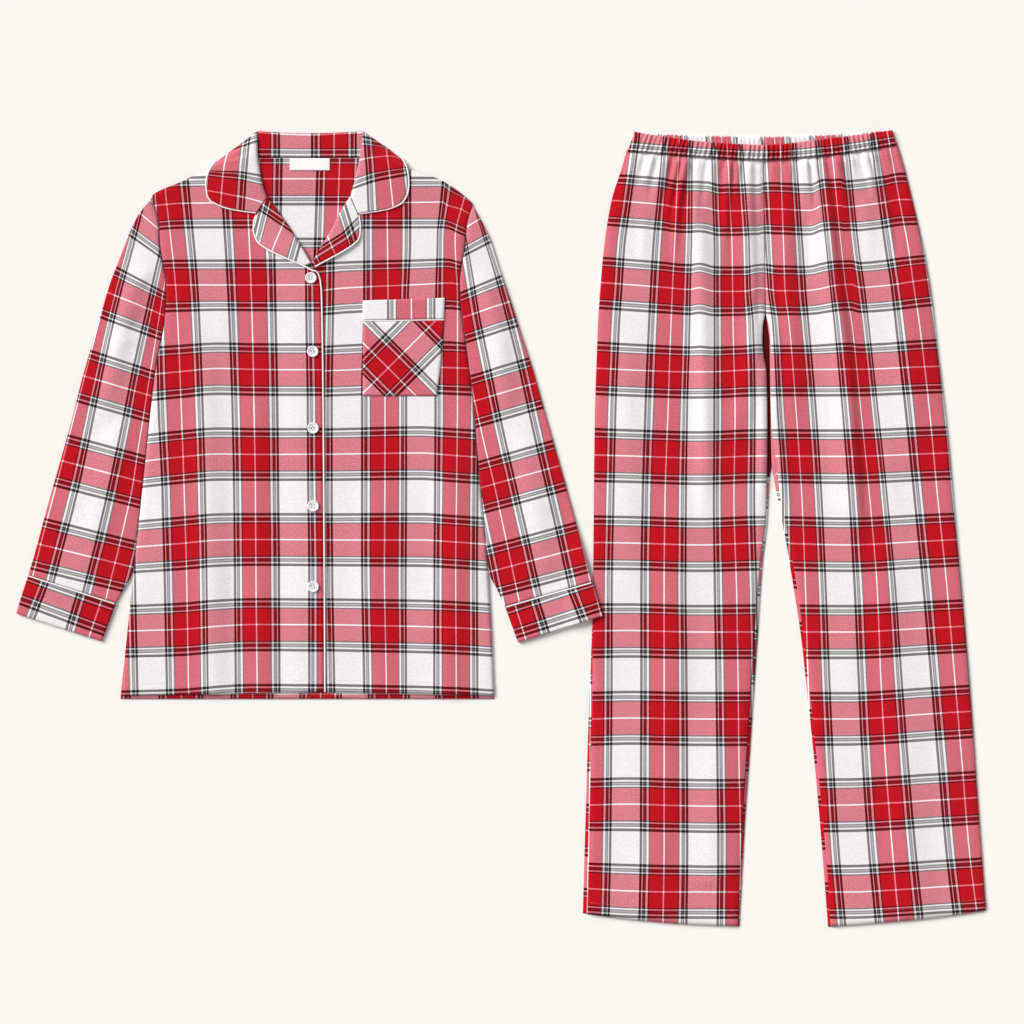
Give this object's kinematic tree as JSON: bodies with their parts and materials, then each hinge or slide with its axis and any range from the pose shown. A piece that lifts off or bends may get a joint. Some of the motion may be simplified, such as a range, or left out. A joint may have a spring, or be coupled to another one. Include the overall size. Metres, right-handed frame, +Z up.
{
  "type": "pyjama set",
  "caption": "Long-sleeved button-front pyjama shirt with a notched collar and piped edges, laid flat beside its elastic-waist trousers, in a checked flannel.",
  "frame": {"origin": "middle of the set's box on the surface it lies on, between shirt and trousers", "axes": "+X from the shirt to the trousers, +Y from the hems to the collar, +Z up off the surface"},
  "size_m": [1.213, 0.9956, 0.0102],
  "materials": {
    "checked_flannel": "brushed cotton flannel woven in a red, white, black and grey check",
    "piping": "white cotton cord piping",
    "button": "glossy white, with a raised rim and four holes",
    "label": "white satin ribbon, blank"
  },
  "bodies": {
    "root": {"shirt_back": "checked_flannel", "shirt_front_right": "checked_flannel", "shirt_front_left": "checked_flannel", "sleeve_right": "checked_flannel", "sleeve_left": "checked_flannel", "cuff_right": "checked_flannel", "cuff_left": "checked_flannel", "collar_back": "checked_flannel", "collar_leaf_right": "checked_flannel", "collar_leaf_left": "checked_flannel", "lapel_right": "checked_flannel", "lapel_left": "checked_flannel", "pocket": "checked_flannel", "pocket_band": "checked_flannel", "trouser_back_right": "checked_flannel", "trouser_back_left": "checked_flannel", "trouser_front_right": "checked_flannel", "trouser_front_left": "checked_flannel", "waistband": "checked_flannel", "cuff_piping_right": "piping", "cuff_piping_left": "piping", "collar_piping_right": "piping", "collar_piping_left": "piping", "front_piping_right": "piping", "lapel_piping_left": "piping", "pocket_piping": "piping", "neck_label": "label", "button_1": "button", "button_2": "button", "button_3": "button", "button_4": "button", "button_5": "button"}
  },
  "joints": []
}
